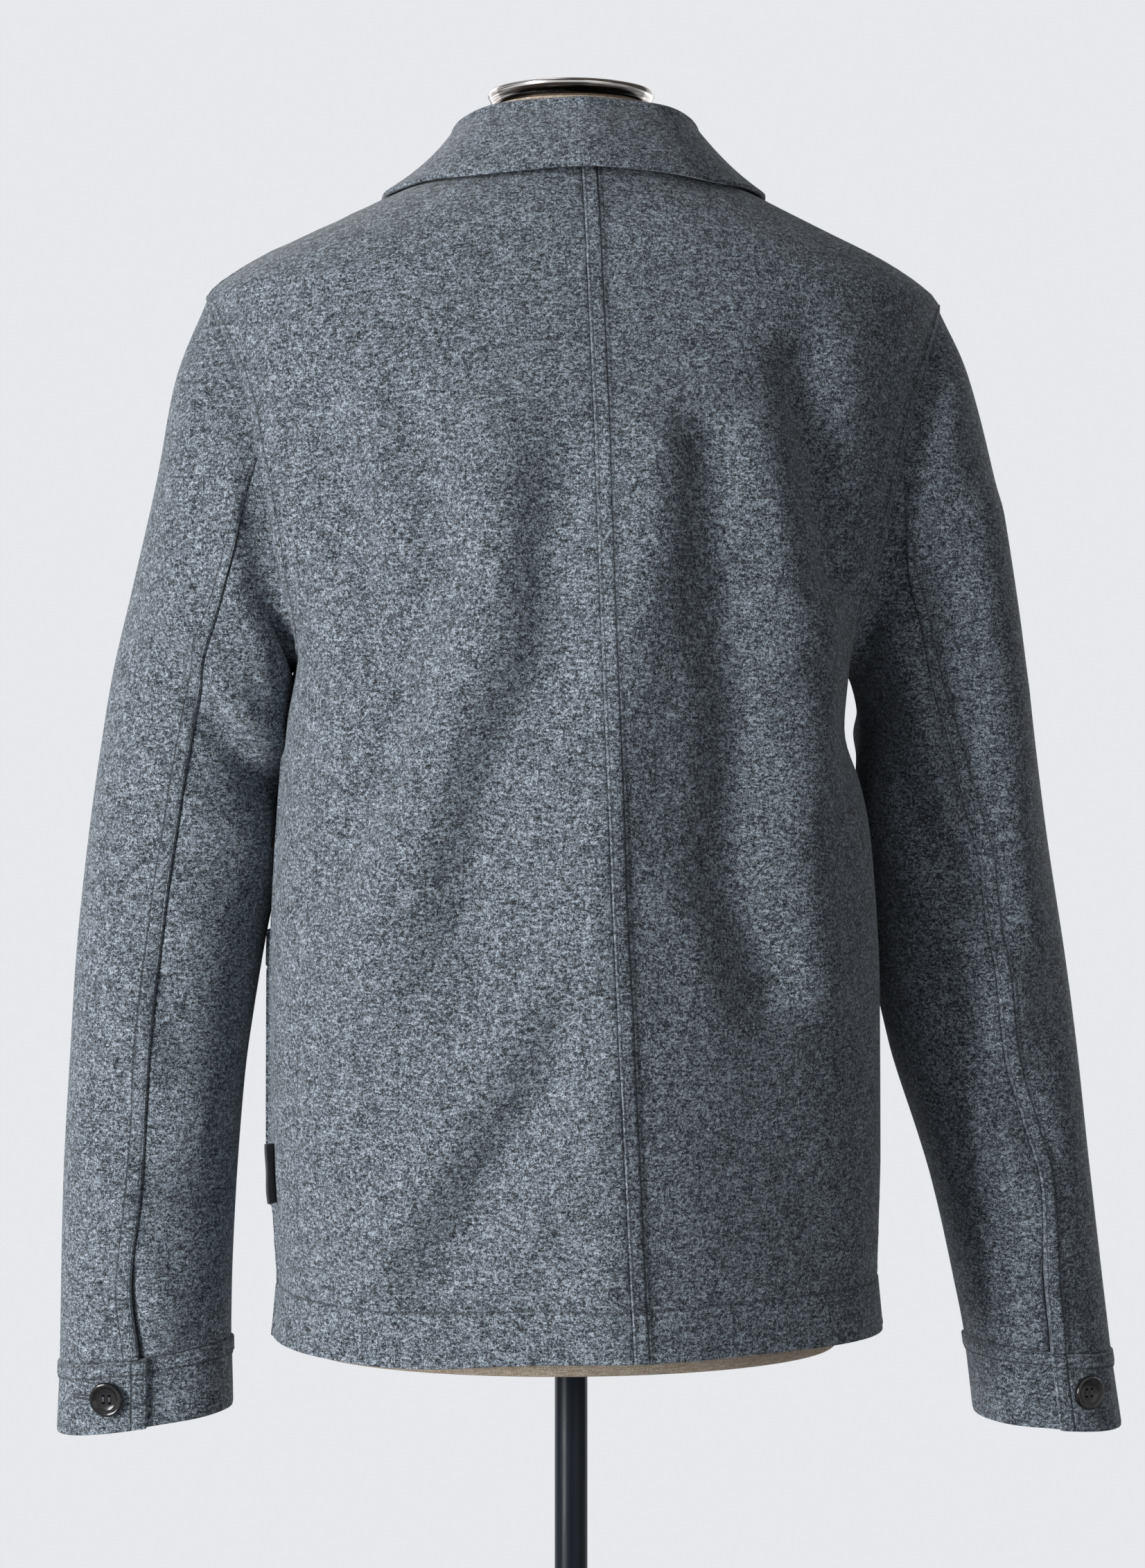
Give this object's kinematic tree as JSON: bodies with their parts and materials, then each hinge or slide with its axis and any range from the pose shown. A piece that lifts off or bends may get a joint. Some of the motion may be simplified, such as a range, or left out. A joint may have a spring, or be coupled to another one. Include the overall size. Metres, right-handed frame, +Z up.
{
  "type": "short coat on a dress form",
  "caption": "Short grey wool coat with a turn-down collar, patch pockets and buttoned cuffs, worn by a limbless linen dress form on a pole stand.",
  "frame": {"origin": "centre of the stand's underside, on the pole's axis", "axes": "+Z up, the wearer faces -Y, so the back is at +Y and the wearer's left at +X"},
  "size_m": [0.638, 0.38, 1.1878],
  "materials": {
    "melton": "brushed melange wool",
    "horn": "polished",
    "ribbon": "woven",
    "linen": "plain weave",
    "chrome": "polished",
    "black_steel": "satin"
  },
  "bodies": {
    "root": {"back_left": "melton", "back_right": "melton", "front_left": "melton", "front_right": "melton", "left_top_sleeve": "melton", "left_under_sleeve": "melton", "right_top_sleeve": "melton", "right_under_sleeve": "melton", "left_cuff": "melton", "right_cuff": "melton", "collar": "melton", "left_pocket": "melton", "right_pocket": "melton", "left_cuff_button": "horn", "right_cuff_button": "horn", "front_button_1": "horn", "front_button_2": "horn", "front_button_3": "horn", "front_button_4": "horn", "front_button_5": "horn", "side_label": "ribbon", "form_torso": "linen", "neck_cap": "chrome", "stand_pole": "black_steel", "stand_base": "black_steel"}
  },
  "joints": []
}
